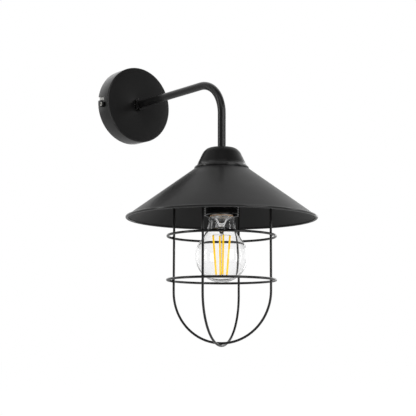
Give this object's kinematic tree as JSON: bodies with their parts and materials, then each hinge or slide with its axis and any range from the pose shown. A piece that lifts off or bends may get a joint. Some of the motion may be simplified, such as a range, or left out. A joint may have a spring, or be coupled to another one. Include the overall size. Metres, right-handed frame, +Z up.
{
  "type": "cage wall light",
  "caption": "Wall light with round rose, bent tube arm, capped cone shade and a wire cage around a screw-in bulb.",
  "frame": {"origin": "centre of the rose on the wall plane, on the axis of the arm where it leaves the rose", "axes": "+Z up, +Y into the wall, the light stands out towards -Y"},
  "size_m": [0.22, 0.298, 0.3578],
  "materials": {
    "black_paint": "satin black powder coat",
    "zinc_steel": "zinc plate",
    "black_plastic": "moulded, semi-matt",
    "white_insulator": "moulded, matt",
    "brass": "plain brass",
    "cap_metal": "rolled thread, nickel look",
    "contact_metal": "soldered contact",
    "black_glass": "glossy insulator",
    "brown_cement": "matt cement",
    "clear_glass": "clear",
    "lead_metal": "fine wire",
    "filament": "yellow coating",
    "brown_insulation": "wire insulation",
    "blue_insulation": "wire insulation",
    "green_insulation": "wire insulation"
  },
  "bodies": {
    "fixture": {"rose_cover": "black_paint", "arm_tube": "black_paint", "arm_outer_nut": "black_paint", "shade_cap": "black_paint", "shade": "black_paint", "cage_upper_bow": "black_paint", "cage_lower_bow": "black_paint", "cage_upper_ring": "black_paint", "cage_lower_ring": "black_paint", "cage_carrier": "black_paint", "side_screws": "black_paint", "wall_bracket": "zinc_steel", "arm_inner_nut": "zinc_steel", "arm_tooth_washer": "zinc_steel", "earth_tag": "zinc_steel", "terminal_screws": "zinc_steel", "earth_screw": "zinc_steel", "holder_dome": "black_plastic", "holder_skirt": "black_plastic", "shade_ring": "black_plastic", "cage_ring_nut": "black_plastic", "holder_insert": "white_insulator", "terminal_block": "white_insulator", "screw_shell": "brass", "live_contact": "brass", "neutral_contact": "brass", "contact_screws": "brass", "live_wire": "brown_insulation", "neutral_wire": "blue_insulation", "earth_wire": "green_insulation"},
    "bulb_foot": {"bulb_contact": "contact_metal"},
    "bulb": {"bulb_insulator": "black_glass", "bulb_cap": "cap_metal", "bulb_cement": "brown_cement", "bulb_glass": "clear_glass", "bulb_stem": "clear_glass", "bulb_leads": "lead_metal", "bulb_filaments": "filament"}
  },
  "joints": [
    {"name": "bulb_travel", "type": "slide", "parent": "fixture", "child": "bulb_foot", "axis": [0, 0, -1], "range_m": [0, 0.0255]},
    {"name": "bulb_turn", "type": "hinge", "parent": "bulb_foot", "child": "bulb", "pos_m": [0, -0.188, -0.2], "axis": [0, 0, -1], "range_deg": [0, 2520]}
  ],
  "couplings": [
    {"joint": "bulb_travel", "follows": "bulb_turn", "m_per_rad": 0.00057757}
  ]
}
